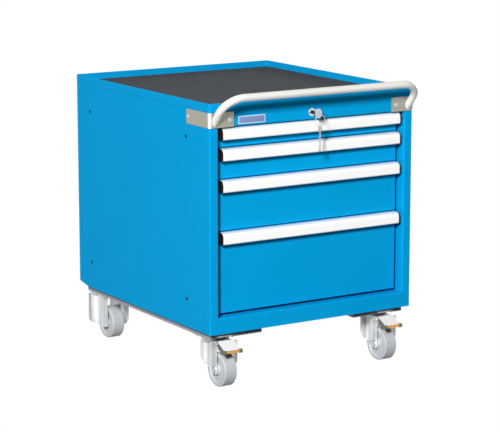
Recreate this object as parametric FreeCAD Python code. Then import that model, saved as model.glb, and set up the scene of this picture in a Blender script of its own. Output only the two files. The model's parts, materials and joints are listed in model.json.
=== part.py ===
"""Mobile drawer cabinet on four casters, with four drawers, a push handle and a central lock.

Millimetres. X runs to the right, Y to the back and Z up; the front is at the low end of Y.
The origin is at floor level, in the middle of the overall length and width.
"""
import FreeCAD, Part
import math
import os

# Housing: a welded sheet-steel box, measured without the casters
body_width = 700.0
body_depth = 800.0
body_height = 664.0
sheet = 1.5
post_width = 29.0
post_return = 45.0
post_bend_radius = 4.5
housing_corner_radius = 4.0
rear_flange = 20.0
rear_cut_length = 55.0
rear_cut_height = 10.0
base_flange = 12.0
side_hole_radius = 5.5
side_hole_spacing_y = 585.0
side_hole_spacing_z = 474.0
side_hole_front = 132.0
side_hole_low = 82.5

# Top tray and its mat
rim_height = 23.5
rim_thickness = 3.0
rim_proud = 1.5
mat_depth = 19.0
mat_thickness = 3.0
mat_gap = 2.0

# Front frame
sill_height = 47.0
frame_flange = 30.0
frame_bend_radius = 3.5
sill_flange = 66.0
bend_gap = 2.0

# Drawers, from the top one down
front_pitches = (60.0, 90.0, 150.0, 240.0)
front_gap = 3.0
front_side_gap = 12.4
front_bottom_gap = 8.0
front_recess = 23.0
front_thickness = 15.0
front_edge_radius = 2.0
drawer_travel = 650.0
tray_length = 700.0
tray_sheet = 1.2
tray_side_gap = 23.0
tray_floor_rise = 4.0
tray_top_drop = 8.0
tray_hem = 4.0

# Handle profile along the top of each drawer front
grip_height = 34.5
grip_projection = 24.0
grip_wall = 2.5
grip_nose_radius = 14.0
grip_lip_radius = 5.0
grip_lip = 7.0
grip_back_leg = 12.0
grip_cap_thickness = 3.0

# Telescopic runners: cabinet rail, middle rail and drawer rail nest inside one another
rail_sheet = 1.5
rail_clearance = 0.4
rail_height = 36.0
rail_length = 660.0
rail_front = 64.0
rail_rise = 26.0
drawer_rail_depth = 12.0
middle_rail_depth = 12.0
cabinet_rail_depth = 10.0
rail_web_gap = 0.5
upright_width = 40.0
upright_front = 60.0
upright_rear_inset = 136.0
upright_top_gap = 6.0

# Label plate on the header, left bare
label_width = 90.0
label_height = 23.0
label_thickness = 1.0
label_left = 94.0
label_low = 600.0

# Push handle and its corner brackets
tube_radius = 11.0
tube_wall = 2.0
handle_reach = 60.0
handle_height = 683.0
handle_foot_height = 611.0
handle_foot_inset = 17.0
handle_bend_radius = 60.0
bracket_thickness = 3.0
bracket_front_leg = 78.0
bracket_side_leg = 122.0
bracket_low = 595.0
bracket_height = 43.0
bracket_screw_radius = 4.0
bracket_screw_head_radius = 6.5
bracket_screw_head = 2.2
bracket_screw_length = 12.0
bracket_front_screw_inset = 63.0
bracket_side_screw_inset = 112.0
bracket_screw_height = 616.0

# Central lock
lock_x = -7.5
lock_height = 616.0
barrel_radius = 9.5
barrel_length = 26.0
rosette_radius = 11.5
rosette_thickness = 2.5
lock_nut_radius = 14.0
lock_nut_thickness = 5.0
plug_radius = 6.5
plug_clearance = 0.05
plug_length = 30.0
plug_face_proud = 1.0
tenon_radius = 4.0
cam_thickness = 3.0
cam_radius = 9.0
pin_radius = 2.5
pin_length = 8.0
pin_clearance = 0.6
lock_drop = 10.0
lock_arm_gap = 3.0
lock_arm_thickness = 3.0
lock_arm_height = 16.0
lock_arm_end = 12.0
lock_bar_thickness = 3.0
lock_bar_width = 16.0
lock_bar_front = 42.0
lock_bar_bottom = 70.0
lock_bar_clearance = 0.5
hook_thickness = 4.0
hook_height = 5.5
hook_setback = 2.0
hook_reach = 12.0
catch_gap = 1.0
catch_height = 6.0
catch_depth = 8.0
guide_heights = (200.0, 400.0)
guide_height = 20.0

# Keys and their ring
key_thickness = 2.0
key_blade_height = 7.0
key_blade_depth = 22.0
key_slot_clearance = 0.1
key_shoulder = 6.0
key_bow_radius = 14.0
key_bow_thickness = 5.0
key_bow_centre = 30.0
key_hole_radius = 3.5
key_hole_offset = 8.0
ring_radius = 17.0
ring_wire_radius = 0.8
ring_drop = 2.3
spare_key_blade = 59.0
spare_key_bow_radius = 9.5
spare_key_hole_offset = 4.5

# Casters
wheel_radius = 50.0
wheel_width = 40.0
wheel_edge_radius = 4.0
hub_radius = 15.0
hub_width = 44.0
wheel_recess = 4.0
wheel_recess_radius = 36.0
axle_radius = 6.0
axle_clearance = 0.08
axle_nut_radius = 9.5
axle_nut_thickness = 7.5
caster_inset = 68.0
front_swivel_back = 85.0
swivel_offset = 38.0
rear_wheel_inset = 79.0
caster_height = 148.0
plate_thickness = 4.0
plate_width = 105.0
plate_length = 85.0
plate_corner_radius = 6.0
plate_hole_x = 80.0
plate_hole_y = 60.0
caster_bolt_radius = 4.0
caster_bolt_head_radius = 6.5
caster_bolt_head = 5.3
caster_nut = 6.5
caster_rail_width = 175.0
caster_rail_inset = 13.0
caster_rail_height = 18.0
caster_rail_sheet = 3.0
caster_rail_front = 24.0
caster_rail_rear = 30.0
caster_rail_notch_half = 27.0
caster_rail_notch_length = 26.0
race_radius = 34.0
race_cup_radius = 32.0
race_cup_height = 4.0
race_height = 3.5
race_gap = 0.5
king_pin_radius = 7.0
king_pin_clearance = 0.08
king_nut_radius = 11.0
king_nut_thickness = 6.0
king_nut_gap = 1.0
fork_plate = 4.0
fork_plate_radius = 40.0
fork_leg = 3.0
hub_side_gap = 1.0
fork_leg_front = 38.0
fork_leg_rear = 101.0
fork_front_flange = 20.0
fork_front_flange_bottom = 62.0
fork_rear_flange = 15.0
fork_rear_flange_tip = 58.0
fork_rear_flange_bottom = 86.0
fork_eye_radius = 13.0
fixed_front_length = 20.0
fixed_rear_length = 54.0
fixed_shoulder = 7.0
fixed_flange = 26.0
fixed_flange_bottom = 52.0
fixed_flange_tip = 39.0

# Brake pedal on each front caster
pedal_pin_back = 31.0
pedal_pin_height = 130.0
pedal_pin_radius = 3.0
pedal_pin_clearance = 0.05
pedal_pin_head_radius = 4.5
pedal_pin_head = 2.0
pedal_lug_radius = 4.4
pedal_lug_width = 2.5
pedal_sheet = 2.5
pedal_half_width = 27.0
pedal_rise = 5.0
pedal_eye_radius = 6.0
pedal_side_depth = 9.0
pedal_side_length = 34.0
tread_back = -10.5
tread_height = 113.0
tread_radius = 4.0
tread_half_length = 31.0
tread_cap_radius = 6.0
tread_cap_length = 9.0
shoe_half_width = 16.0
shoe_thickness = 4.0
shoe_top_back = 22.5
shoe_top_height = 123.0
shoe_web_bottom = 114.0
shoe_tip_back = 25.4
shoe_tip_height = 99.2

# Worked out from the sizes above
floor_to_body = caster_height + caster_rail_height
overall_front = handle_reach + tube_radius
front_y = overall_front - (overall_front + body_depth + rim_proud) / 2
half_width = body_width / 2
side_top = body_height - rim_height
opening_half = half_width - post_width
front_half = opening_half - front_side_gap
header_low = sill_height + front_bottom_gap + sum(front_pitches)
tray_half = opening_half - tray_side_gap
axle_height = wheel_radius
rear_wheel_back = body_depth - rear_wheel_inset
upright_rear = body_depth - upright_rear_inset
drawer_count = len(front_pitches)


def at_y(back):
    """Y of a point that lies this far behind the front plane of the housing."""
    return front_y + back


def at_z(height):
    """Z of a point that lies this far above the underside of the housing."""
    return floor_to_body + height


def vec(x, y, z):
    return FreeCAD.Vector(x, y, z)


def block(x, y, z):
    """Box between the low and high values of x, y and z, given in either order."""
    lows = [min(pair) for pair in (x, y, z)]
    size = [abs(pair[1] - pair[0]) for pair in (x, y, z)]
    return Part.makeBox(size[0], size[1], size[2], vec(*lows))


def rod(axis, centre, radius, low, high):
    """Cylinder along an axis; centre holds the two other coordinates in X, Y, Z order."""
    starts = {
        "x": (vec(low, centre[0], centre[1]), vec(1, 0, 0)),
        "y": (vec(centre[0], low, centre[1]), vec(0, 1, 0)),
        "z": (vec(centre[0], centre[1], low), vec(0, 0, 1)),
    }
    base, direction = starts[axis]
    return Part.makeCylinder(radius, high - low, base, direction)


def hexagon(axis, centre, radius, low, high):
    """Hexagonal prism along an axis, with this radius across its corners."""
    corners = [
        (centre[0] + radius * math.cos(math.radians(60 * k)),
         centre[1] + radius * math.sin(math.radians(60 * k)))
        for k in range(6)
    ]
    return prism(axis, corners, low, high)


def prism(axis, points, low, high):
    """Extrude a closed polygon along an axis; points hold the two other coordinates."""
    place = {
        "x": lambda p: vec(low, p[0], p[1]),
        "y": lambda p: vec(p[0], low, p[1]),
        "z": lambda p: vec(p[0], p[1], low),
    }[axis]
    along = {"x": vec(1, 0, 0), "y": vec(0, 1, 0), "z": vec(0, 0, 1)}[axis]
    corners = [place(p) for p in points]
    face = Part.Face(Part.makePolygon(corners + [corners[0]]))
    return face.extrude(along * (high - low))


def fuse(shapes):
    whole = shapes[0].multiFuse(shapes[1:]) if len(shapes) > 1 else shapes[0]
    return whole.removeSplitter()


def mirrored(shape):
    """The same piece on the other side of the middle plane."""
    return shape.mirror(vec(0, 0, 0), vec(1, 0, 0))


def edges_along(axis, shape, points, reach=0.01):
    """Edges parallel to an axis that pass through any of these points in the two others."""
    first, second = {"x": (1, 2), "y": (0, 2), "z": (0, 1)}[axis]

    def apart(a, b):
        return abs(a[0] - b[0]) + abs(a[1] - b[1])

    found = []
    for edge in shape.Edges:
        ends = [(v.Point[first], v.Point[second]) for v in edge.Vertexes]
        if len(ends) < 2 or apart(*ends) > reach:
            continue
        if any(apart(ends[0], point) < reach for point in points):
            found.append(edge)
    return found


def vertical_edges(shape, points):
    return edges_along("z", shape, points)


def save(name, solids):
    """Write one node; a node of several like solids is saved as a group."""
    shape = solids[0] if len(solids) == 1 else Part.makeCompound(solids)
    shape.exportStep("parts/" + name + ".step")


def front_top(index):
    """Height of a drawer front's top edge above the underside of the housing."""
    return header_low - front_gap - sum(front_pitches[:index])


def front_bottom(index):
    return front_top(index) - front_pitches[index] + front_gap


def rail_centre(index):
    return front_bottom(index) + rail_rise


# Housing


def side_panel():
    """Right side: the wall with its front post, folded in, and its rear flange."""
    outline = [
        (half_width, 0),
        (half_width, body_depth),
        (half_width - rear_flange, body_depth),
        (half_width - rear_flange, body_depth - sheet),
        (half_width - sheet, body_depth - sheet),
        (half_width - sheet, sheet),
        (opening_half + sheet, sheet),
        (opening_half + sheet, post_return),
        (opening_half, post_return),
        (opening_half, 0),
    ]
    panel = prism("z", [(x, at_y(y)) for x, y in outline], at_z(0), at_z(side_top))
    outer = [(half_width, at_y(0))]
    panel = panel.makeFillet(housing_corner_radius, vertical_edges(panel, outer))
    inner = [(half_width - sheet, at_y(sheet))]
    panel = panel.makeFillet(housing_corner_radius - sheet, vertical_edges(panel, inner))
    bend = [(opening_half, at_y(0))]
    panel = panel.makeFillet(post_bend_radius, vertical_edges(panel, bend))
    inner_bend = [(opening_half + sheet, at_y(sheet))]
    panel = panel.makeFillet(post_bend_radius - sheet, vertical_edges(panel, inner_bend))
    cut = prism(
        "x",
        [
            (at_y(body_depth - rear_cut_length), at_z(0)),
            (at_y(body_depth + 1), at_z(0) - 1),
            (at_y(body_depth + 1), at_z(rear_cut_height)),
            (at_y(body_depth), at_z(rear_cut_height)),
        ],
        opening_half,
        half_width + 1,
    )
    notch = block(
        (opening_half, opening_half + post_bend_radius),
        (at_y(sheet), at_y(post_return)),
        (at_z(0), at_z(base_flange)),
    )
    panel = panel.cut(cut).cut(notch)
    for y in (side_hole_front, side_hole_front + side_hole_spacing_y):
        for z in (side_hole_low, side_hole_low + side_hole_spacing_z):
            hole = rod("x", (at_y(y), at_z(z)), side_hole_radius, half_width - 3, half_width + 3)
            panel = panel.cut(hole)
    return panel.cut(bracket_screw_shanks()[1])


def rear_panel():
    inside = half_width - sheet
    return block(
        (-inside, inside),
        (at_y(body_depth - 2 * sheet), at_y(body_depth - sheet)),
        (at_z(rear_cut_height + sheet), at_z(side_top)),
    )


def base_panel():
    """Floor of the housing, with its edges folded up inside the walls and bent at the rear."""
    inside = half_width - sheet
    front, rear = sheet, body_depth - 2 * sheet
    bend = body_depth - rear_cut_length
    rise = rear_cut_height * (rear - bend) / rear_cut_length
    section = [
        (at_y(front), at_z(0)),
        (at_y(bend), at_z(0)),
        (at_y(rear), at_z(rise)),
        (at_y(rear), at_z(rise + base_flange)),
        (at_y(rear - sheet), at_z(rise + base_flange)),
        (at_y(rear - sheet), at_z(rise + sheet)),
        (at_y(bend), at_z(sheet)),
        (at_y(front + sheet), at_z(sheet)),
        (at_y(front + sheet), at_z(base_flange)),
        (at_y(front), at_z(base_flange)),
    ]
    floor = prism("x", section, -inside, inside)
    flanges = [
        block(
            (side * inside, side * (inside - sheet)),
            (at_y(front), at_y(bend)),
            (at_z(0), at_z(base_flange)),
        )
        for side in (-1, 1)
    ]
    base = fuse([floor] + flanges)
    corner = [(side * inside, at_y(front)) for side in (-1, 1)]
    return base.makeFillet(housing_corner_radius - sheet, vertical_edges(base, corner))


def top_tray():
    """Shallow tray with a raised rim that overhangs the housing a little all round."""
    out_x = half_width + rim_proud
    lows, highs = at_y(-rim_proud), at_y(body_depth + rim_proud)
    rim = block((-out_x, out_x), (lows, highs), (at_z(side_top), at_z(body_height)))
    corners = [(x, y) for x in (-out_x, out_x) for y in (lows, highs)]
    rim = rim.makeFillet(housing_corner_radius + rim_proud, vertical_edges(rim, corners))
    in_x = out_x - rim_thickness
    floor_top = side_top + sheet
    well = block(
        (-in_x, in_x),
        (lows + rim_thickness, highs - rim_thickness),
        (at_z(floor_top), at_z(body_height + 1)),
    )
    well_corners = [
        (x, y) for x in (-in_x, in_x) for y in (lows + rim_thickness, highs - rim_thickness)
    ]
    inner_radius = housing_corner_radius + rim_proud - rim_thickness
    well = well.makeFillet(inner_radius, vertical_edges(well, well_corners))
    tray = rim.cut(well)
    top = [
        edge for edge in tray.Edges
        if all(abs(v.Point.z - at_z(body_height)) < 0.01 for v in edge.Vertexes)
    ]
    return tray.makeFillet(rim_thickness * 0.35, top)


def mat():
    half_x = half_width + rim_proud - rim_thickness - mat_gap
    low = at_y(-rim_proud + rim_thickness + mat_gap)
    high = at_y(body_depth + rim_proud - rim_thickness - mat_gap)
    bottom = at_z(side_top + sheet)
    return block((-half_x, half_x), (low, high), (bottom, bottom + mat_thickness))


def bent(rail, heights):
    """Round the front folds of a rail; heights are (outer, inner) pairs of one fold each."""
    for outer, inner in heights:
        rail = rail.makeFillet(frame_bend_radius, edges_along("x", rail, [(at_y(0), at_z(outer))]))
        inside = [(at_y(sheet), at_z(inner))]
        rail = rail.makeFillet(frame_bend_radius - sheet, edges_along("x", rail, inside))
    return rail


def between_posts(rail):
    """Trim a front rail to the posts; its face runs on into the groove beside their bends."""
    height = (at_z(0), at_z(side_top))
    between = block((-opening_half, opening_half), (at_y(0), at_y(body_depth)), height)
    face = block((-half_width, half_width), (at_y(0), at_y(sheet)), height)
    post = side_panel()
    return rail.common(fuse([between, face])).cut(post).cut(mirrored(post))


def header():
    """Front rail above the drawers: a face with a flange folded back at its top and bottom."""
    low, high = header_low, side_top
    section = [
        (0, low), (0, high), (frame_flange, high), (frame_flange, high - sheet),
        (sheet, high - sheet), (sheet, low + sheet), (frame_flange, low + sheet),
        (frame_flange, low),
    ]
    reach = opening_half + post_bend_radius
    rail = prism("x", [(at_y(y), at_z(z)) for y, z in section], -reach, reach)
    rail = between_posts(bent(rail, [(low, low + sheet)]))
    lock = rod("y", (lock_x, at_z(lock_height)), barrel_radius, at_y(-1), at_y(3))
    screw = bracket_screw_shanks()[0]
    return rail.cut(lock).cut(screw).cut(mirrored(screw))


def sill():
    """Bottom rail: it stands on the base, and its top runs back to the uprights."""
    reach = opening_half + post_bend_radius
    section = [
        (0, 0), (0, sill_height), (upright_front - bend_gap, sill_height),
        (upright_front - bend_gap, sill_height - sheet), (sheet, sill_height - sheet), (sheet, 0),
    ]
    rail = prism("x", [(at_y(y), at_z(z)) for y, z in section], -reach, reach)
    rail = between_posts(bent(rail, [(sill_height, sill_height - sheet)]))
    tongue_half = rail_face() - bend_gap
    tongue = block(
        (-tongue_half, tongue_half),
        (at_y(upright_front - bend_gap), at_y(sill_flange)),
        (at_z(sill_height - sheet), at_z(sill_height)),
    )
    return fuse([rail, tongue])


def upright(y_front):
    """Right-hand channel that carries the runners; it stands on the base panel."""
    inner = rail_face()
    outer = half_width - sheet
    rear = y_front + upright_width
    section = [
        (outer, y_front), (inner, y_front), (inner, rear), (outer, rear),
        (outer, rear - sheet), (inner + sheet, rear - sheet),
        (inner + sheet, y_front + sheet), (outer, y_front + sheet),
    ]
    points = [(x, at_y(y)) for x, y in section]
    foot = base_flange
    channel = prism("z", points, at_z(foot), at_z(side_top - upright_top_gap))
    return channel


def rail_face():
    """X of the uprights' inner face, where the cabinet rails are fixed."""
    return middle_web() + rail_web_gap + rail_sheet


def middle_web():
    """X of the middle rail's outer face."""
    return tray_half + drawer_rail_depth + rail_web_gap * 2 + rail_sheet


def bar_guide(height):
    """Loop on the front right upright that the locking bar slides in."""
    inner, outer, front, rear = lock_bar_box()
    gap = lock_bar_clearance
    wall = sheet
    shell = block(
        (inner - gap - wall, outer + gap + wall),
        (at_y(front - gap - wall), at_y(upright_front)),
        (at_z(height), at_z(height + guide_height)),
    )
    hole = block(
        (inner - gap, outer + gap),
        (at_y(front - gap), at_y(rear + gap)),
        (at_z(height - 1), at_z(height + guide_height + 1)),
    )
    return shell.cut(hole)


def uprights():
    plain = [upright(upright_front), upright(upright_rear)]
    guides = [bar_guide(height) for height in guide_heights]
    right = [fuse([plain[0]] + guides), plain[1]]
    return right + [mirrored(shape) for shape in plain]


def label_plate():
    left = -half_width + label_left
    return block(
        (left, left + label_width),
        (at_y(-label_thickness), at_y(0)),
        (at_z(label_low), at_z(label_low + label_height)),
    )


# Push handle


def corner_bracket():
    """Right-hand bracket, bent round the front corner of the housing."""
    outer = half_width + bracket_thickness
    front_end = half_width - bracket_front_leg
    low, high = at_z(bracket_low), at_z(bracket_low + bracket_height)
    front_leg = block((front_end, outer), (at_y(-bracket_thickness), at_y(0)), (low, high))
    side_leg = block(
        (half_width, outer), (at_y(-bracket_thickness), at_y(bracket_side_leg)), (low, high)
    )
    bracket = fuse([front_leg, side_leg])
    corner = [(outer, at_y(-bracket_thickness))]
    outer_radius = housing_corner_radius + bracket_thickness
    bracket = bracket.makeFillet(outer_radius, vertical_edges(bracket, corner))
    filler = block((half_width - outer_radius, half_width), (at_y(0), at_y(outer_radius)), (low, high))
    void = filler.cut(
        rod("z", (half_width - housing_corner_radius, at_y(housing_corner_radius)),
            housing_corner_radius, low - 1, high + 1)
    )
    web = void.common(
        block(
            (half_width - housing_corner_radius, half_width),
            (at_y(0), at_y(housing_corner_radius)),
            (low, high),
        )
    )
    bracket = fuse([bracket, web])
    for hole in bracket_screw_shanks():
        bracket = bracket.cut(hole)
    return bracket


def bracket_screw_shanks():
    z = at_z(bracket_screw_height)
    front = rod(
        "y", (half_width - bracket_front_screw_inset, z), bracket_screw_radius,
        at_y(-bracket_thickness), at_y(bracket_screw_length),
    )
    side = rod(
        "x", (at_y(bracket_side_screw_inset), z), bracket_screw_radius,
        half_width - bracket_screw_length, half_width + bracket_thickness,
    )
    return [front, side]


def bracket_screws():
    """Two button-head screws for the right-hand bracket."""
    z = at_z(bracket_screw_height)
    front_centre = (half_width - bracket_front_screw_inset, z)
    front_face = at_y(-bracket_thickness)
    front_head = rod(
        "y", front_centre, bracket_screw_head_radius, front_face - bracket_screw_head, front_face
    )
    side_centre = (at_y(bracket_side_screw_inset), z)
    side_face = half_width + bracket_thickness
    side_head = rod(
        "x", side_centre, bracket_screw_head_radius, side_face, side_face + bracket_screw_head
    )
    return [fuse([shank, head]) for shank, head in zip(bracket_screw_shanks(), (front_head, side_head))]


def arc_corner(before, corner, after, radius):
    """Tangent points and middle of the arc that rounds a corner of a path."""
    to_start = (before - corner).normalize()
    to_end = (after - corner).normalize()
    angle = to_start.getAngle(to_end)
    length = radius / math.tan(angle / 2)
    start = corner + to_start * length
    end = corner + to_end * length
    bisector = (to_start + to_end).normalize()
    middle = corner + bisector * (radius / math.sin(angle / 2) - radius)
    return start, middle, end


def handle_tube(radius):
    """Bent tube from bracket to bracket, run on a little at both feet."""
    foot = vec(half_width - handle_foot_inset, at_y(0), at_z(handle_foot_height))
    bend = vec(half_width - handle_foot_inset, at_y(-handle_reach), at_z(handle_height))
    foot = foot + (foot - bend).normalize() * (2 * tube_radius)

    def flip(point):
        return vec(-point.x, point.y, point.z)

    first = arc_corner(foot, bend, flip(bend), handle_bend_radius)
    second = [flip(point) for point in reversed(first)]
    edges = [
        Part.LineSegment(foot, first[0]).toShape(),
        Part.Arc(*first).toShape(),
        Part.LineSegment(first[2], second[0]).toShape(),
        Part.Arc(*second).toShape(),
        Part.LineSegment(second[2], flip(foot)).toShape(),
    ]
    path = Part.Wire(edges)
    circle = Part.Wire(Part.makeCircle(radius, foot, (first[0] - foot).normalize()))
    return path.makePipeShell([circle], True, False)


def push_handle():
    tube = handle_tube(tube_radius).cut(handle_tube(tube_radius - tube_wall))
    behind = block(
        (-body_width, body_width),
        (at_y(-bracket_thickness), at_y(body_depth)),
        (at_z(0), at_z(2 * body_height)),
    )
    return tube.cut(behind)


# Lock


def lock_housing():
    centre = (lock_x, at_z(lock_height))
    rosette = rod("y", centre, rosette_radius, at_y(-rosette_thickness), at_y(0))
    edge = [e for e in rosette.Edges if abs(e.CenterOfMass.y - at_y(-rosette_thickness)) < 0.01]
    rosette = rosette.makeChamfer(rosette_thickness * 0.5, edge)
    barrel = rod("y", centre, barrel_radius, at_y(-rosette_thickness), at_y(barrel_length))
    nut = hexagon("y", centre, lock_nut_radius, at_y(sheet), at_y(sheet + lock_nut_thickness))
    body = fuse([rosette, barrel, nut])
    bore = rod("y", centre, plug_radius + plug_clearance, at_y(-10), at_y(barrel_length + 1))
    return body.cut(bore)


def lock_plug():
    """Turning core of the lock, with its keyway and the tenon that carries the cam."""
    centre = (lock_x, at_z(lock_height))
    face = -rosette_thickness - plug_face_proud
    core = rod("y", centre, plug_radius, at_y(face), at_y(plug_length))
    tenon = rod("y", centre, tenon_radius, at_y(plug_length), at_y(plug_length + cam_thickness))
    half = key_thickness / 2 + key_slot_clearance
    tall = key_blade_height / 2 + key_slot_clearance
    keyway = block(
        (lock_x - half, lock_x + half),
        (at_y(face - 1), at_y(face + key_blade_depth + 1)),
        (at_z(lock_height) - tall, at_z(lock_height) + tall),
    )
    return fuse([core, tenon]).cut(keyway)


def cam_pin_offset():
    """Sideways and upward offset of the cam's pin; a quarter turn drops it by lock_drop."""
    return lock_drop / 2


def lock_cam():
    centre = (lock_x, at_z(lock_height))
    offset = cam_pin_offset()
    near, far = at_y(plug_length), at_y(plug_length + cam_thickness)
    disc = rod("y", centre, cam_radius, near, far)
    boss = rod("y", (centre[0] + offset, centre[1] + offset), pin_radius + 2.5, near, far)
    pin = rod(
        "y", (centre[0] + offset, centre[1] + offset), pin_radius, near, far + pin_length
    )
    return fuse([disc, boss, pin]).cut(rod("y", centre, tenon_radius, near, far))


def lock_bar_box():
    """Inner and outer X, front and rear Y of the upright locking bar, before at_y."""
    inner = middle_web() + 1.5
    return inner, inner + lock_bar_thickness, lock_bar_front, lock_bar_front + lock_bar_width


def locking_bar():
    """Right-hand bar with a hook for each drawer and an arm that reaches the lock's cam."""
    inner, outer, front, rear = lock_bar_box()
    arm_front = plug_length + cam_thickness + lock_arm_gap
    arm_middle = at_z(lock_height) + cam_pin_offset()
    arm_low, arm_high = arm_middle - lock_arm_height / 2, arm_middle + lock_arm_height / 2
    bar = block((inner, outer), (at_y(front), at_y(rear)), (at_z(lock_bar_bottom), arm_high))
    arm = block(
        (lock_x - lock_arm_end, outer),
        (at_y(arm_front), at_y(arm_front + lock_arm_thickness)),
        (arm_low, arm_high),
    )
    joint = block((inner, outer), (at_y(arm_front), at_y(front + 1)), (arm_low, arm_high))
    pieces = [bar, arm, joint]
    for index in range(drawer_count):
        low = at_z(hook_low(index)) + lock_drop
        pieces.append(
            block(
                (inner - hook_reach, inner),
                (at_y(front + hook_setback), at_y(front + hook_setback + hook_thickness)),
                (low, low + hook_height),
            )
        )
    whole = fuse(pieces)
    reach = math.hypot(cam_pin_offset(), cam_pin_offset())
    margin = pin_radius + pin_clearance
    slot = block(
        (lock_x + cam_pin_offset() - margin, lock_x + reach + margin),
        (at_y(arm_front - 1), at_y(arm_front + lock_arm_thickness + 1)),
        (arm_middle - margin, arm_middle + margin),
    )
    return whole.cut(slot)


def hook_low(index):
    """Height of a hook's underside when the bar is down, just above the middle rail."""
    return rail_centre(index) + rail_height / 2 - 0.5


# Keys


def key_ring_centre():
    """X, Y and Z of the middle of the ring, which hangs in the key's hole."""
    return (
        lock_x,
        at_y(key_hole_y()),
        at_z(lock_height) - ring_drop - ring_radius,
    )


def key_hole_y():
    return -rosette_thickness - plug_face_proud - key_bow_centre - key_hole_offset


def key():
    """Flat key in the lock, upright, with a thicker round bow."""
    face = -rosette_thickness - plug_face_proud
    half = key_thickness / 2
    z = at_z(lock_height)
    low, high = z - key_blade_height / 2, z + key_blade_height / 2
    side = (lock_x - half, lock_x + half)
    blade = block(side, (at_y(face - key_shoulder), at_y(face + key_blade_depth)), (low, high))
    shoulder = block(
        side, (at_y(face - key_bow_centre), at_y(face - 0.5)), (low - 1, high + 1)
    )
    bow_side = (lock_x - key_bow_thickness / 2, lock_x + key_bow_thickness / 2)
    bow = rod("x", (at_y(face - key_bow_centre), z), key_bow_radius, *bow_side)
    hole = rod("x", (at_y(key_hole_y()), z), key_hole_radius, bow_side[0] - 1, bow_side[1] + 1)
    body = fuse([blade, shoulder, bow]).cut(hole)
    for k in range(4):
        y = at_y(face + 4 + 4 * k)
        notch = prism("x", [(y, high + 1), (y + 3, high + 1), (y + 1.5, high - 1.5)], side[0], side[1])
        body = body.cut(notch)
    return body


def key_ring():
    x, y, z = key_ring_centre()
    return Part.makeTorus(ring_radius, ring_wire_radius, vec(x, y, z), vec(0, 1, 0))


def spare_key():
    """Second key, hanging from the ring with its blade down."""
    x, y, z = key_ring_centre()
    hole_z = z - ring_radius - ring_drop
    bow_z = hole_z - spare_key_hole_offset
    half = key_thickness / 2
    side = (x - half, x + half)
    bow = rod("x", (y, bow_z), spare_key_bow_radius, side[0], side[1])
    hole = rod("x", (y, hole_z), key_hole_radius, side[0] - 1, side[1] + 1)
    blade_half = key_blade_height / 2
    tip = bow_z - spare_key_bow_radius + 2 - spare_key_blade
    blade = prism(
        "x",
        [
            (y - blade_half, bow_z), (y + blade_half, bow_z),
            (y + blade_half, tip + 2), (y + blade_half - 2, tip), (y - blade_half, tip + 3),
        ],
        side[0],
        side[1],
    )
    body = fuse([bow, blade]).cut(hole)
    for k in range(5):
        low = tip + 5 + 4 * k
        notch = prism(
            "x",
            [(y - blade_half - 1, low), (y - blade_half - 1, low + 3), (y - blade_half + 1.5, low + 1.5)],
            side[0],
            side[1],
        )
        body = body.cut(notch)
    return body


# Drawers


def drawer_tray(index):
    """Drawer body of three sheets: a pan with its front and rear, and two side walls."""
    low = front_bottom(index) + tray_floor_rise
    high = front_top(index) - tray_top_drop
    front = front_recess + front_thickness
    rear = front + tray_length
    inner_half = tray_half - tray_sheet
    wall = block((inner_half, tray_half), (at_y(front), at_y(rear)), (at_z(low), at_z(high)))
    hem = block(
        (tray_half - tray_hem, tray_half),
        (at_y(front), at_y(rear)),
        (at_z(high - tray_sheet), at_z(high)),
    )
    left = mirrored(fuse([wall, hem]))
    catch_front = lock_bar_front + hook_setback + hook_thickness + catch_gap
    catch_low = hook_low(index) - 0.1
    catch = block(
        (inner_half, tray_half + catch_depth),
        (at_y(catch_front), at_y(catch_front + hook_thickness)),
        (at_z(catch_low), at_z(catch_low + catch_height)),
    )
    right = fuse([wall, hem, catch])
    across = (-inner_half, inner_half)
    pan = fuse([
        block(across, (at_y(front), at_y(rear)), (at_z(low), at_z(low + tray_sheet))),
        block(across, (at_y(front), at_y(front + tray_sheet)), (at_z(low), at_z(high))),
        block(across, (at_y(rear - tray_sheet), at_y(rear)), (at_z(low), at_z(high))),
        block(across, (at_y(rear - tray_hem), at_y(rear)), (at_z(high - tray_sheet), at_z(high))),
    ])
    return [pan.cut(left).cut(right), left, right]


def drawer_front(index):
    """Folded front panel, open at the back, with its edges turned in."""
    low, high = front_bottom(index), front_top(index)
    outer = block(
        (-front_half, front_half),
        (at_y(front_recess), at_y(front_recess + front_thickness)),
        (at_z(low), at_z(high)),
    )
    corners = [(-front_half, at_y(front_recess)), (front_half, at_y(front_recess))]
    folds = vertical_edges(outer, corners)
    folds += edges_along("x", outer, [(at_y(front_recess), at_z(low))])
    outer = outer.makeFillet(front_edge_radius, folds)
    inner = block(
        (-front_half + sheet, front_half - sheet),
        (at_y(front_recess + sheet), at_y(front_recess + front_thickness - sheet)),
        (at_z(low + sheet), at_z(high - sheet)),
    )
    rear_opening = block(
        (-tray_half + tray_hem, tray_half - tray_hem),
        (at_y(front_recess + front_thickness - sheet - 1), at_y(front_recess + front_thickness + 1)),
        (at_z(low + tray_floor_rise + 4), at_z(high - tray_top_drop - 4)),
    )
    return outer.cut(inner).cut(rear_opening)


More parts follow.
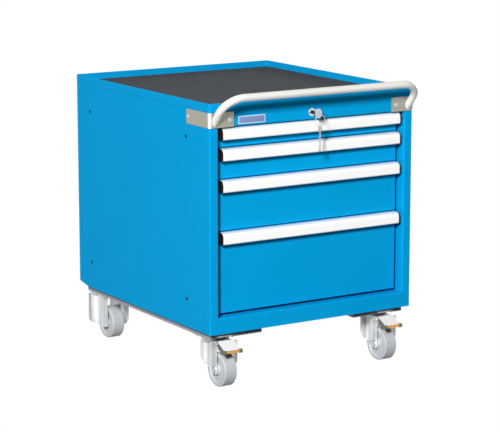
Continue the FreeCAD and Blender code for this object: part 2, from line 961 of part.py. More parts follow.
def grip_section(index, x, inset=0.0):
    """Face of the handle profile: a flat top, a rounded nose and a rounded lower front edge."""
    top = at_z(front_top(index)) - inset
    low = at_z(front_top(index) - grip_height) + inset
    back = at_y(front_recess) - inset
    nose = at_y(front_recess - grip_projection) + inset
    upper, lower = grip_nose_radius - inset, grip_lip_radius - inset
    diagonal = math.sin(math.radians(45))
    rise, fall = (nose + upper, top - upper), (nose + lower, low + lower)
    edges = [
        Part.LineSegment(vec(x, back, low), vec(x, fall[0], low)).toShape(),
        Part.Arc(
            vec(x, fall[0], low),
            vec(x, fall[0] - lower * diagonal, fall[1] - lower * diagonal),
            vec(x, nose, fall[1]),
        ).toShape(),
        Part.LineSegment(vec(x, nose, fall[1]), vec(x, nose, rise[1])).toShape(),
        Part.Arc(
            vec(x, nose, rise[1]),
            vec(x, rise[0] - upper * diagonal, rise[1] + upper * diagonal),
            vec(x, rise[0], top),
        ).toShape(),
        Part.LineSegment(vec(x, rise[0], top), vec(x, back, top)).toShape(),
        Part.LineSegment(vec(x, back, top), vec(x, back, low)).toShape(),
    ]
    return Part.Face(Part.Wire(edges))


def drawer_handle(index):
    """Extruded profile: a top web, a rounded front with a lip, and a short back leg."""
    half = front_half - grip_cap_thickness
    run = vec(2 * half, 0, 0)
    outer = grip_section(index, -half).extrude(run)
    inner = grip_section(index, -half, grip_wall).extrude(run)
    top = front_top(index)
    mouth = block(
        (-half, half),
        (at_y(front_recess - grip_projection + grip_lip), at_y(front_recess - grip_wall)),
        (at_z(top - grip_height - 1), at_z(top - grip_height + grip_wall + 1)),
    )
    below_leg = block(
        (-half, half),
        (at_y(front_recess - grip_wall), at_y(front_recess)),
        (at_z(top - grip_height - 1), at_z(top - grip_back_leg)),
    )
    return outer.cut(inner).cut(mouth).cut(below_leg)


def grip_caps(index):
    """Moulded end caps that close the profile at both ends."""
    half = front_half - grip_cap_thickness
    cap = grip_section(index, half).extrude(vec(grip_cap_thickness, 0, 0))
    return [cap, mirrored(cap)]


def channel(web_face, toward, depth, index, half_height):
    """C-shaped rail: web_face is the web's back, and toward is the way its flanges point."""
    z = at_z(rail_centre(index))
    low, high = z - half_height, z + half_height
    flange_end = web_face + toward * depth
    web_inside = web_face + toward * rail_sheet
    section = [
        (web_face, low), (flange_end, low), (flange_end, low + rail_sheet),
        (web_inside, low + rail_sheet), (web_inside, high - rail_sheet),
        (flange_end, high - rail_sheet), (flange_end, high), (web_face, high),
    ]
    return prism("y", section, at_y(rail_front), at_y(rail_front + rail_length))


def cabinet_rail(index):
    return channel(rail_face(), -1, cabinet_rail_depth, index, rail_height / 2)


def middle_rail(index):
    half = rail_height / 2 - rail_sheet - rail_clearance
    return channel(middle_web(), -1, middle_rail_depth, index, half)


def drawer_rail(index):
    half = rail_height / 2 - 2 * (rail_sheet + rail_clearance)
    return channel(tray_half, 1, drawer_rail_depth, index, half)


def both_sides(shape):
    return [shape, mirrored(shape)]


# Casters


def caster_centres():
    """X and Y of the four mounting plates: front right, front left, rear right, rear left."""
    x = half_width - caster_inset
    return [
        (side * x, at_y(y)) for y in (front_swivel_back, rear_wheel_back) for side in (1, -1)
    ]


def plate_hole_centres(centre):
    return [
        (centre[0] + dx * plate_hole_x / 2, centre[1] + dy * plate_hole_y / 2)
        for dx in (-1, 1) for dy in (-1, 1)
    ]


def caster_rail():
    """Right-hand channel under the base, web down, that the casters are bolted to."""
    outer = half_width - caster_rail_inset
    inner = outer - caster_rail_width
    low, web_top = caster_height, caster_height + caster_rail_sheet
    section = [
        (outer, low), (outer, floor_to_body), (outer - caster_rail_sheet, floor_to_body),
        (outer - caster_rail_sheet, web_top), (inner + caster_rail_sheet, web_top),
        (inner + caster_rail_sheet, floor_to_body), (inner, floor_to_body), (inner, low),
    ]
    rail = prism("y", section, at_y(caster_rail_front), at_y(body_depth - caster_rail_rear))
    middle = half_width - caster_inset
    notch = block(
        (middle - caster_rail_notch_half, middle + caster_rail_notch_half),
        (at_y(0), at_y(caster_rail_front + caster_rail_notch_length)),
        (low - 1, web_top + 1),
    )
    rail = rail.cut(notch)
    for centre in caster_centres():
        if centre[0] > 0:
            for hole in plate_hole_centres(centre):
                rail = rail.cut(rod("z", hole, caster_bolt_radius, low - 1, web_top + 1))
    return rail


def caster_bolts():
    """Hexagon bolts with their nuts inside the rails, four to each caster."""
    bolts = []
    head_top = caster_height - plate_thickness
    nut_low = caster_height + caster_rail_sheet
    for centre in caster_centres():
        for hole in plate_hole_centres(centre):
            shank = rod("z", hole, caster_bolt_radius, head_top, nut_low + caster_nut + 1.5)
            head = hexagon("z", hole, caster_bolt_head_radius, head_top - caster_bolt_head, head_top)
            nut = hexagon("z", hole, caster_bolt_head_radius, nut_low, nut_low + caster_nut)
            bolts.append(fuse([shank, head, nut]))
    return bolts


def mounting_plate(centre):
    """Caster plate with its four bolt holes."""
    cx, cy = centre
    low = caster_height - plate_thickness
    plate = block(
        (cx - plate_width / 2, cx + plate_width / 2),
        (cy - plate_length / 2, cy + plate_length / 2),
        (low, caster_height),
    )
    corners = [
        (cx + dx * plate_width / 2, cy + dy * plate_length / 2) for dx in (-1, 1) for dy in (-1, 1)
    ]
    plate = plate.makeFillet(plate_corner_radius, vertical_edges(plate, corners))
    for hole in plate_hole_centres(centre):
        plate = plate.cut(rod("z", hole, caster_bolt_radius, low - 1, caster_height + 1))
    return plate


def swivel_plate(centre):
    """Plate of a swivel caster, with its ball race and king pin."""
    plate_low = caster_height - plate_thickness
    cup_low = plate_low - race_cup_height
    cup = rod("z", centre, race_cup_radius, cup_low, plate_low)
    race = rod("z", centre, race_radius, cup_low - race_height, cup_low)
    nut_top = crown_top() - fork_plate - king_nut_gap
    nut_low = nut_top - king_nut_thickness
    pin = rod("z", centre, king_pin_radius, nut_low, cup_low)
    nut = hexagon("z", centre, king_nut_radius, nut_low, nut_top)
    return fuse([mounting_plate(centre), cup, race, pin, nut])


def crown_top():
    return caster_height - plate_thickness - race_cup_height - race_height - race_gap


def leg_face():
    """Distance from a wheel's middle plane to the inner face of its fork's legs."""
    return hub_width / 2 + hub_side_gap


def flange(inner, width, side, back, points):
    """Folded edge of a leg in the X Z plane; points are (share of the width, height)."""
    outline = [(inner + side * width * share, z) for share, z in points]
    return prism("y", outline, back, back + fork_leg)


def swivel_fork(centre):
    """Pressed fork: a round crown with two flanged legs and the lugs of the brake pedal."""
    cx = centre[0]
    top = crown_top()
    leg_top = top - fork_plate
    outside = leg_face() + fork_leg
    crown = rod("z", centre, fork_plate_radius, leg_top, top)
    nose = block((cx - outside, cx + outside), (at_y(fork_leg_front), centre[1]), (leg_top, top))
    tail = block((cx - outside, cx + outside), (centre[1], at_y(fork_leg_rear)), (leg_top, top))
    pieces = [crown, nose, tail]
    eye = front_swivel_back - swivel_offset
    low = axle_height - fork_eye_radius
    leg_outline = [
        (fork_leg_front, leg_top),
        (fork_leg_rear, leg_top),
        (fork_leg_rear, fork_rear_flange_tip + 4),
        (eye + fork_eye_radius, low + 6),
        (eye + fork_eye_radius / 2, low),
        (eye - fork_eye_radius / 2, low),
        (fork_leg_front - 2, low + 6),
        (fork_leg_front, fork_front_flange_bottom),
    ]
    for side in (-1, 1):
        inner = cx + side * leg_face()
        outer = inner + side * fork_leg
        outline = [(at_y(y), z) for y, z in leg_outline]
        pieces.append(prism("x", outline, min(inner, outer), max(inner, outer)))
        front_width = fork_leg + fork_front_flange
        front_points = [
            (0, leg_top), (1, leg_top), (1, fork_front_flange_bottom + 6),
            (0.75, fork_front_flange_bottom), (0, fork_front_flange_bottom),
        ]
        pieces.append(flange(inner, front_width, side, at_y(fork_leg_front), front_points))
        rear_width = fork_leg + fork_rear_flange
        rear_points = [
            (0, leg_top), (1, leg_top), (1, fork_rear_flange_bottom),
            (0.85, fork_rear_flange_bottom - 10), (0.2, fork_rear_flange_tip),
            (0, fork_rear_flange_tip),
        ]
        pieces.append(
            flange(inner, rear_width, side, at_y(fork_leg_rear) - fork_leg, rear_points)
        )
        lug = [
            (pedal_pin_back, pedal_pin_height - pedal_lug_radius),
            (pedal_pin_back, pedal_pin_height + pedal_lug_radius),
            (fork_leg_front + 6, pedal_pin_height + pedal_lug_radius),
            (fork_leg_front + 6, pedal_pin_height - 2 * pedal_lug_radius),
        ]
        lug_inner = cx + side * (leg_face() - pedal_lug_width + 0.5)
        lug_outer = lug_inner + side * pedal_lug_width
        lug_side = (min(lug_inner, lug_outer), max(lug_inner, lug_outer))
        pieces.append(prism("x", [(at_y(y), z) for y, z in lug], *lug_side))
        pieces.append(rod("x", pedal_pin_centre(), pedal_lug_radius, *lug_side))
    reach = pedal_half_width + 0.5
    pieces.append(rod("x", pedal_pin_centre(), pedal_pin_radius, cx - reach, cx + reach))
    for low_x in (cx - reach - pedal_pin_head, cx + reach):
        head = rod("x", pedal_pin_centre(), pedal_pin_head_radius, low_x, low_x + pedal_pin_head)
        pieces.append(head)
    fork = fuse(pieces)
    king_hole = rod("z", centre, king_pin_radius + king_pin_clearance, leg_top - 1, top + 1)
    axle_hole = rod(
        "x", (centre[1] - swivel_offset, axle_height), axle_radius, cx - outside - 1, cx + outside + 1
    )
    return fork.cut(king_hole).cut(axle_hole)


def axle(centre):
    """Axle bolt with a head outside one leg and a nut outside the other."""
    cx, cy = centre
    end = leg_face() + fork_leg
    shank = rod("x", (cy, axle_height), axle_radius, cx - end - axle_nut_thickness, cx + end)
    nut = hexagon(
        "x", (cy, axle_height), axle_nut_radius, cx - end - axle_nut_thickness, cx - end
    )
    head = hexagon(
        "x", (cy, axle_height), axle_nut_radius, cx + end, cx + end + axle_nut_thickness
    )
    return fuse([shank, nut, head])


def wheel(centre):
    """Wheel turned from one outline, with a rounded tread and recessed faces."""
    cx, cy = centre
    half = wheel_width / 2
    edge = wheel_edge_radius
    bore = axle_radius + axle_clearance
    diag = edge * math.sin(math.radians(45))

    def point(x, r):
        return vec(cx + x, cy, axle_height + r)

    hub_half = hub_width / 2
    web_half = half - wheel_recess
    lip = half - edge
    run = [
        (-hub_half, bore), (-hub_half, hub_radius), (-web_half, hub_radius + 2),
        (-web_half, wheel_recess_radius), (-half, wheel_recess_radius + 3),
        (-half, wheel_radius - edge),
    ]
    back = [(-x, r) for x, r in reversed(run)]
    edges = [
        Part.LineSegment(point(*a), point(*b)).toShape() for a, b in zip(run, run[1:])
    ]
    edges.append(
        Part.Arc(
            point(-half, wheel_radius - edge),
            point(-lip - diag, wheel_radius - edge + diag),
            point(-lip, wheel_radius),
        ).toShape()
    )
    edges.append(Part.LineSegment(point(-lip, wheel_radius), point(lip, wheel_radius)).toShape())
    edges.append(
        Part.Arc(
            point(lip, wheel_radius),
            point(lip + diag, wheel_radius - edge + diag),
            point(half, wheel_radius - edge),
        ).toShape()
    )
    edges += [Part.LineSegment(point(*a), point(*b)).toShape() for a, b in zip(back, back[1:])]
    edges.append(Part.LineSegment(point(*back[-1]), point(*run[0])).toShape())
    face = Part.Face(Part.Wire(edges))
    return face.revolve(vec(cx, cy, axle_height), vec(1, 0, 0), 360)


def pedal_pin_centre():
    return at_y(pedal_pin_back), pedal_pin_height


def brake_pedal(centre):
    """Foot pedal on a cross pin, with a round tread bar in front and a shoe over the wheel."""
    cx = centre[0]
    half = pedal_half_width
    pin = vec(0, *pedal_pin_centre())
    tread = vec(0, at_y(tread_back), tread_height)
    along = (tread - pin).normalize()
    up = vec(0, along.z, -along.y)

    def spot(distance, rise):
        point = pin + along * distance + up * rise
        return point.y, point.z

    length = (tread - pin).Length
    plate = prism(
        "x",
        [
            spot(-1, pedal_rise), spot(-1, pedal_rise + pedal_sheet),
            spot(length, tread_radius - 0.5), spot(length, 0),
        ],
        cx - half,
        cx + half,
    )
    pieces = [plate]
    cheek = [
        spot(0, pedal_rise + 1), spot(length, 1), spot(pedal_side_length, -pedal_side_depth),
        spot(0, -pedal_eye_radius),
    ]
    for side in (-1, 1):
        faces = sorted((cx + side * half, cx + side * (half - pedal_sheet)))
        pieces.append(prism("x", cheek, *faces))
        pieces.append(rod("x", pedal_pin_centre(), pedal_eye_radius, *faces))
    shoe_web = block(
        (cx - half, cx + half),
        (at_y(shoe_top_back), at_y(shoe_top_back + shoe_thickness)),
        (shoe_web_bottom, shoe_top_height),
    )
    shoe = prism(
        "x",
        [
            (at_y(shoe_top_back), shoe_top_height),
            (at_y(shoe_top_back + shoe_thickness), shoe_top_height),
            (at_y(shoe_tip_back + shoe_thickness), shoe_tip_height),
            (at_y(shoe_tip_back), shoe_tip_height),
        ],
        cx - shoe_half_width,
        cx + shoe_half_width,
    )
    tread_centre = (tread.y, tread.z)
    bar = rod("x", tread_centre, tread_radius, cx - tread_half_length, cx + tread_half_length)
    pieces += [shoe_web, shoe, bar]
    for low in (cx - tread_half_length, cx + tread_half_length - tread_cap_length):
        pieces.append(rod("x", tread_centre, tread_cap_radius, low, low + tread_cap_length))
    hole = rod(
        "x", pedal_pin_centre(), pedal_pin_radius + pedal_pin_clearance, cx - half - 1, cx + half + 1
    )
    return fuse(pieces).cut(hole)


def fixed_bracket(centre):
    """Fixed caster bracket: a plate with two flanged legs that hold the axle."""
    cx, cy = centre
    plate_low = caster_height - plate_thickness
    shoulder = plate_low - fixed_shoulder
    low = axle_height - fork_eye_radius
    front, rear = cy - fixed_front_length, cy + fixed_rear_length
    width = fork_leg + fixed_flange
    pieces = [mounting_plate(centre)]
    for side in (-1, 1):
        inner = cx + side * leg_face()
        outer = inner + side * fork_leg
        outline = [
            (front, plate_low), (cy + plate_length / 2, plate_low), (rear, shoulder),
            (rear, fixed_flange_tip), (cy + fork_eye_radius, low),
            (cy - fork_eye_radius, low), (front, fixed_flange_tip),
        ]
        pieces.append(prism("x", outline, min(inner, outer), max(inner, outer)))
        for back, top in ((front, plate_low), (rear - fork_leg, shoulder)):
            points = [
                (0, top), (1, top), (1, fixed_flange_bottom),
                (0.6, fixed_flange_tip + 2), (0.3, fixed_flange_tip), (0, fixed_flange_tip),
            ]
            pieces.append(flange(inner, width, side, back, points))
    axle_hole = rod(
        "x", (cy, axle_height), axle_radius, cx - leg_face() - fork_leg - 1, cx + leg_face() + fork_leg + 1
    )
    return fuse(pieces).cut(axle_hole)


def build():
    os.makedirs("parts", exist_ok=True)
    right_panel = side_panel()
    save("right_side_panel", [right_panel])
    save("left_side_panel", [mirrored(right_panel)])
    save("rear_panel", [rear_panel()])
    save("base_panel", [base_panel()])
    save("top_tray", [top_tray()])
    save("top_mat", [mat()])
    save("front_header", [header()])
    save("front_sill", [sill()])
    save("runner_uprights", uprights())
    save("label_plate", [label_plate()])

    bracket = corner_bracket()
    save("handle_brackets", [bracket, mirrored(bracket)])
    screws = bracket_screws()
    save("bracket_screws", screws + [mirrored(screw) for screw in screws])
    save("push_handle", [push_handle()])

    save("lock_housing", [lock_housing()])
    save("lock_plug", [lock_plug()])
    save("lock_cam", [lock_cam()])
    save("locking_bar", [locking_bar()])
    save("key", [key()])
    save("key_ring", [key_ring()])
    save("spare_key", [spare_key()])

    cabinet_rails = []
    for index in range(drawer_count):
        name = "drawer_" + str(index + 1)
        save(name + "_tray", drawer_tray(index))
        save(name + "_front", [drawer_front(index)])
        save(name + "_handle", [drawer_handle(index)])
        save(name + "_handle_caps", grip_caps(index))
        save(name + "_rails", both_sides(drawer_rail(index)))
        save(name + "_middle_rails", both_sides(middle_rail(index)))
        cabinet_rails += both_sides(cabinet_rail(index))
    save("cabinet_rails", cabinet_rails)

    rail = caster_rail()
    save("caster_rails", [rail, mirrored(rail)])
    save("caster_bolts", caster_bolts())
    centres = caster_centres()
    save("front_caster_plates", [swivel_plate(centre) for centre in centres[:2]])
    save("rear_caster_brackets", [fixed_bracket(centre) for centre in centres[2:]])
    save("rear_caster_axles", [axle(centre) for centre in centres[2:]])
    for centre, side in zip(centres[:2], ("right", "left")):
        wheel_centre = (centre[0], centre[1] - swivel_offset)
        save("front_" + side + "_fork", [swivel_fork(centre)])
        save("front_" + side + "_axle", [axle(wheel_centre)])
        save("front_" + side + "_wheel", [wheel(wheel_centre)])
        save("front_" + side + "_brake_pedal", [brake_pedal(centre)])
    for centre, side in zip(centres[2:], ("right", "left")):
        save("rear_" + side + "_wheel", [wheel(centre)])


build()
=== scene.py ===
"""Mobile drawer cabinet: its finishes, rounded edges and small details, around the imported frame.

Lengths are in metres unless a name ends in _mm. X runs to the right, Y to the back and Z up.
"""
import json
import math

import bpy
from bpy.props import FloatProperty, FloatVectorProperty, PointerProperty
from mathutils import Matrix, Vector

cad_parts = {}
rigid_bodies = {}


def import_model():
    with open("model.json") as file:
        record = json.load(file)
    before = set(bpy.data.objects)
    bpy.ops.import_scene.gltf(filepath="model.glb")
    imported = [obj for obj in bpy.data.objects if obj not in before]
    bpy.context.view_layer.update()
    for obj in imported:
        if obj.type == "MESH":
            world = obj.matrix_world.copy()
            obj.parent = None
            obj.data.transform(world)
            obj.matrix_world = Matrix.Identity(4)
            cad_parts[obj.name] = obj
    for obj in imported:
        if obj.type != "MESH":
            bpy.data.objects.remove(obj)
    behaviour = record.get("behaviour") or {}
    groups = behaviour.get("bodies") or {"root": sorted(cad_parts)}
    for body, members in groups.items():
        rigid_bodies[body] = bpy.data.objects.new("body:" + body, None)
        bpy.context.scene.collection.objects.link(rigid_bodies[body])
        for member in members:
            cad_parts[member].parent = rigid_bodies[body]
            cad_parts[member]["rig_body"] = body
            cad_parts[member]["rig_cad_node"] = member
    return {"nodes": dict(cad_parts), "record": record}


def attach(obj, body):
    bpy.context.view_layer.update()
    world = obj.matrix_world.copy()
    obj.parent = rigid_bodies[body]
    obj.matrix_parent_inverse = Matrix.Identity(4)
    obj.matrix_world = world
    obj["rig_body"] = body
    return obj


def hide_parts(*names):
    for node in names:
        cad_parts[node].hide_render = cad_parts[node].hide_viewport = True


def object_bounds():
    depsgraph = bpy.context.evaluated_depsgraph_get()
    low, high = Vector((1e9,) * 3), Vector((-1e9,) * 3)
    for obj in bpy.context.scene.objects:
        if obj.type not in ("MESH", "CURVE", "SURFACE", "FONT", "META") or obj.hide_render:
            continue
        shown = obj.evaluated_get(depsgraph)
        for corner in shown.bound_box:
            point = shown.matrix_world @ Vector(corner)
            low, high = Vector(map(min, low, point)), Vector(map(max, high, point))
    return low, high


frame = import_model()
CAD_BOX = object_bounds()
RECORD = frame["record"]
BODIES = {node: body for body, nodes in RECORD["behaviour"]["bodies"].items() for node in nodes}

bl_info = {
    "name": "Mobile drawer cabinet",
    "version": (1, 0, 0),
    "blender": (4, 5, 0),
    "location": "3D View > Sidebar > Cabinet",
    "description": "Builds the finished pieces of a mobile drawer cabinet around its packed frame",
    "category": "Object",
}

MM = 0.001
DRAWERS = ("drawer_1", "drawer_2", "drawer_3", "drawer_4")
SIDES = ("left", "right")
MERGE_DISTANCE = 0.01 * MM
FLAT_ANGLE = math.radians(0.4)
SMOOTH_ANGLE = math.radians(35)

# Least share of a face's normal along an axis, for a face that looks forward or up
LOOKS_FORWARD = 0.99
LOOKS_UP = 0.8

# Broken edges that aren't among the owner's sizes
THIN_EDGE = 0.3 * MM
SCREW_EDGE = 0.6 * MM
WHEEL_EDGE = 0.8 * MM

# Label plate: width and depth of its rim, and the smallest area of its face in square metres
LABEL_RIM = 2.5 * MM
LABEL_RECESS = 0.3 * MM
LABEL_FACE_AREA = 0.001

# Front casters: swivel axis, ball race, and the pedal's tread bar with its end caps
CASTER_X, SWIVEL_Y = 282 * MM, -280.25 * MM
RACE_LOW, RACE_HIGH = 136.2 * MM, 140.2 * MM
RACE_INSIDE = 25 * MM
PEDAL_BAR = Vector((-375.75 * MM, 113 * MM))
PEDAL_BAR_RADIUS = 4.6 * MM
PEDAL_CAP_RADIUS = 6.6 * MM
PEDAL_CAP_START = 21.9 * MM

# Handle brackets: X and Y of the heads of the front and side screws, their height, and the
# place past which the corner is bent and carries a painted highlight
FRONT_SCREW = (287 * MM, -370.45 * MM)
SIDE_SCREW = (355.2 * MM, -253.25 * MM)
SCREW_Z = 782 * MM
BEND_X, BEND_Y = 346.2 * MM, -361.4 * MM

# The key's bow starts here
KEY_BOW_Y = -386 * MM

# Bands that the wave texture shows per unit of its scale
WAVE_BANDS = 20 / (2 * math.pi)

# Camera, fitted to the corners of the housing and the wheels in a picture of 500 x 432 pixels
CAMERA_PLACE = (-3.2535, -5.2194, 1.6129)
CAMERA_YAW = math.radians(32.028)
CAMERA_PITCH = math.radians(11.0)
CAMERA_LENS_MM = 147.8
SENSOR_MM = 36.0
CLIP_END = 100

# Studio; each light has a name, a place, a width and height, and a power in watts
LIGHTS = (
    ("key_light", (-6.27, -6.34, 4.7), (1.2, 1.7), 1245),
    ("rear_fill", (7.4, 5.1, 1.3), (2.5, 2.5), 760),
)
AMBIENT_STRENGTH = 0.035
FLOOR_SIZE = 60
FLOOR_Z = -0.5 * MM
FLOOR_GREY = 0.22


def linear(code):
    """Linear colour of an sRGB hex code such as #049cd8."""
    channels = [int(code[start:start + 2], 16) / 255 for start in (1, 3, 5)]
    return tuple(c / 12.92 if c <= 0.04045 else ((c + 0.055) / 1.055) ** 2.4 for c in channels)


class CabinetFinish(bpy.types.PropertyGroup):
    """Colours that an owner would choose."""

    housing: FloatVectorProperty(
        name="Housing", description="Powder coat of the housing and the drawer fronts",
        subtype="COLOR", default=linear("#049cd8"), min=0.0, max=1.0)
    mat: FloatVectorProperty(
        name="Mat", description="Rubber mat in the top tray",
        subtype="COLOR", default=linear("#54575c"), min=0.0, max=1.0)
    push_handle: FloatVectorProperty(
        name="Push handle", description="Powder coat of the bent tube",
        subtype="COLOR", default=linear("#e6e4de"), min=0.0, max=1.0)
    wheels: FloatVectorProperty(
        name="Wheels", description="Polyamide of the four wheels",
        subtype="COLOR", default=linear("#babec1"), min=0.0, max=1.0)
    label: FloatVectorProperty(
        name="Label", description="Bare label plate on the header",
        subtype="COLOR", default=linear("#7a8ab4"), min=0.0, max=1.0)


class CabinetSizes(bpy.types.PropertyGroup):
    """Sizes of the details that are modelled here."""

    panel_edge: FloatProperty(
        name="Panel edge", description="Radius of the folded sheet's edges",
        unit="LENGTH", default=0.9 * MM, min=0.1 * MM, max=1.4 * MM)
    metal_edge: FloatProperty(
        name="Metal edge", description="Broken edge of pressed and turned steel",
        unit="LENGTH", default=0.5 * MM, min=0.05 * MM, max=1.0 * MM)
    socket_radius: FloatProperty(
        name="Socket radius",
        description="Hexagon socket of the button-head screws, to its corners",
        unit="LENGTH", default=2.9 * MM, min=1.0 * MM, max=4.0 * MM)
    socket_depth: FloatProperty(
        name="Socket depth", description="Depth of the hexagon sockets",
        unit="LENGTH", default=1.6 * MM, min=0.5 * MM, max=2.0 * MM)
    mat_rib: FloatProperty(
        name="Mat rib", description="Distance from one rib of the mat to the next",
        unit="LENGTH", default=3.0 * MM, min=1.0 * MM, max=20.0 * MM)


# Selecting and finishing


def select_nothing():
    """Deselect everything, so that the next operator acts on its own piece alone."""
    if bpy.context.object and bpy.context.object.mode != "OBJECT":
        bpy.ops.object.mode_set(mode="OBJECT")
    bpy.ops.object.select_all(action="DESELECT")


def select_only(piece):
    select_nothing()
    piece.select_set(True)
    bpy.context.view_layer.objects.active = piece


def apply_modifiers(piece):
    select_only(piece)
    for modifier in list(piece.modifiers):
        bpy.ops.object.modifier_apply(modifier=modifier.name)


def break_edges(piece, radius, segments):
    """Round the sharp edges and even out the normals, so that edges catch the light."""
    bevel = piece.modifiers.new("edges", "BEVEL")
    bevel.width = radius
    bevel.segments = segments
    bevel.limit_method = "ANGLE"
    bevel.angle_limit = SMOOTH_ANGLE
    bevel.use_clamp_overlap = True
    apply_modifiers(piece)
    bpy.ops.object.shade_smooth_by_angle(angle=SMOOTH_ANGLE)
    weighted = piece.modifiers.new("even normals", "WEIGHTED_NORMAL")
    weighted.keep_sharp = True
    weighted.weight = 100
    apply_modifiers(piece)


def merged_copy(node_name, name):
    """A copy of a CAD node with its loose triangles merged into whole flat faces."""
    select_only(frame["nodes"][node_name])
    bpy.ops.object.duplicate()
    piece = bpy.context.object
    piece.name = name
    del piece["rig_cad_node"]
    del piece["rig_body"]
    bpy.ops.object.mode_set(mode="EDIT")
    bpy.ops.mesh.select_all(action="SELECT")
    bpy.ops.mesh.customdata_custom_splitnormals_clear()
    bpy.ops.mesh.remove_doubles(threshold=MERGE_DISTANCE)
    bpy.ops.mesh.dissolve_limited(angle_limit=FLAT_ANGLE)
    bpy.ops.object.mode_set(mode="OBJECT")
    return piece


def dressed(node_name, material, edge, segments=2):
    """The finished form of a CAD node: the same shape with rounded edges and its material."""
    piece = merged_copy(node_name, node_name + "_finished")
    break_edges(piece, edge, segments)
    bpy.ops.object.parent_clear(type="CLEAR_KEEP_TRANSFORM")
    bpy.ops.object.transform_apply(location=True, rotation=True, scale=True)
    piece.data.materials.clear()
    piece.data.materials.append(material)
    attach(piece, BODIES[node_name])
    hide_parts(node_name)
    return piece


def paint_faces(piece, material, test):
    """Give one more material to the faces that pass the test."""
    piece.data.materials.append(material)
    index = len(piece.data.materials) - 1
    for face in piece.data.polygons:
        if test(face):
            face.material_index = index


def inset_faces(piece, test, width, depth):
    """Draw a border of this width inside the faces that pass the test and sink their middle."""
    select_only(piece)
    bpy.ops.object.mode_set(mode="EDIT")
    bpy.ops.mesh.select_mode(type="FACE")
    bpy.ops.mesh.select_all(action="DESELECT")
    bpy.ops.object.mode_set(mode="OBJECT")
    for face in piece.data.polygons:
        face.select = test(face)
    bpy.ops.object.mode_set(mode="EDIT")
    bpy.ops.mesh.inset(thickness=width, depth=-depth)
    bpy.ops.object.mode_set(mode="OBJECT")


def cut_socket(piece, place, axis, radius, depth):
    """Sink a hexagon socket into the piece at this place; axis points out of the socket."""
    select_nothing()
    turn = Vector(axis).to_track_quat("Z", "Y").to_euler()
    bpy.ops.mesh.primitive_cylinder_add(
        vertices=6, radius=radius, depth=2 * depth, location=place, rotation=turn)
    cutter = bpy.context.object
    socket = piece.modifiers.new("socket", "BOOLEAN")
    socket.operation = "DIFFERENCE"
    socket.solver = "EXACT"
    socket.object = cutter
    apply_modifiers(piece)
    select_only(cutter)
    bpy.ops.object.delete()


# Materials

# Materials by their short names, filled by finishes()
FINISHES = {}

# Texture scales that draw lines along X or along Z, and wider bands along Z
ALONG_X = (0.02, 1.0, 1.0)
ALONG_Z = (1.0, 1.0, 0.03)
BANDS_ALONG_Z = (1.0, 1.0, 0.04)

# Noise hardly leaves this range
NOISE_RANGE = (0.3, 0.7)


def node(tree, kind, inputs=None, **settings):
    """Add a node; inputs maps sockets to values or to the sockets that feed them."""
    made = tree.nodes.new(kind)
    for name, value in settings.items():
        setattr(made, name, value)
    for key, value in (inputs or {}).items():
        if isinstance(value, bpy.types.NodeSocket):
            tree.links.new(value, made.inputs[key])
        else:
            made.inputs[key].default_value = value
    return made


def new_material(name):
    """An empty material with its node tree, its surface shader and its object coordinates."""
    material = bpy.data.materials.new(name)
    material.use_nodes = True
    tree = material.node_tree
    shader = tree.nodes["Principled BSDF"]
    place = tree.nodes.new("ShaderNodeTexCoord").outputs["Object"]
    return material, tree, shader, place


def per_size(size_mm):
    """Texture scale that makes a feature this large, for coordinates in metres."""
    return 1.0 / (size_mm * MM)


def mottled(tree, place, size_mm, low=0.0, high=1.0, detail=2.0):
    """Noise of this feature size, turned into a factor between low and high."""
    noise = node(tree, "ShaderNodeTexNoise", {
        "Vector": place, "Scale": per_size(size_mm), "Detail": detail})
    spread = node(tree, "ShaderNodeMapRange", {
        "Value": noise.outputs["Fac"], "From Min": NOISE_RANGE[0], "From Max": NOISE_RANGE[1],
        "To Min": low, "To Max": high})
    return spread.outputs["Result"]


def tinted(tree, shader, colour, factor):
    """Colour times a factor that varies over the surface."""
    mix = node(tree, "ShaderNodeVectorMath", {0: colour, "Scale": factor}, operation="SCALE")
    tree.links.new(mix.outputs["Vector"], shader.inputs["Base Color"])


def relief(tree, shader, height, depth_mm, strength=1.0):
    """Fine surface relief from a height between 0 and 1."""
    bump = node(tree, "ShaderNodeBump", {
        "Height": height, "Distance": depth_mm * MM, "Strength": strength})
    tree.links.new(bump.outputs["Normal"], shader.inputs["Normal"])


def powder_coat(name, colour, roughness=0.5, gloss=0.03):
    """Polyester powder coat: an even, slightly glossy film with a faint orange-peel surface."""
    material, tree, shader, place = new_material(name)
    tinted(tree, shader, colour, mottled(tree, place, size_mm=160, low=0.985, high=1.015))
    shader.inputs["Roughness"].default_value = roughness
    shader.inputs["IOR"].default_value = 1.5
    shader.inputs["Specular IOR Level"].default_value = gloss
    # Real orange peel is about 1 mm across; 2.5 mm is as fine as the picture can show.
    relief(tree, shader, mottled(tree, place, size_mm=2.5), depth_mm=0.03)
    return material


def plated_metal(name, colour, roughness, depth_mm):
    """Zinc, brass or chrome plating: a thin metal film that follows the steel, a little cloudy."""
    material, tree, shader, place = new_material(name)
    tinted(tree, shader, colour, mottled(tree, place, size_mm=14, low=0.95, high=1.04))
    shader.inputs["Metallic"].default_value = 1.0
    cloud = mottled(tree, place, size_mm=9, low=roughness - 0.04, high=roughness + 0.06)
    tree.links.new(cloud, shader.inputs["Roughness"])
    relief(tree, shader, mottled(tree, place, size_mm=3), depth_mm)
    return material


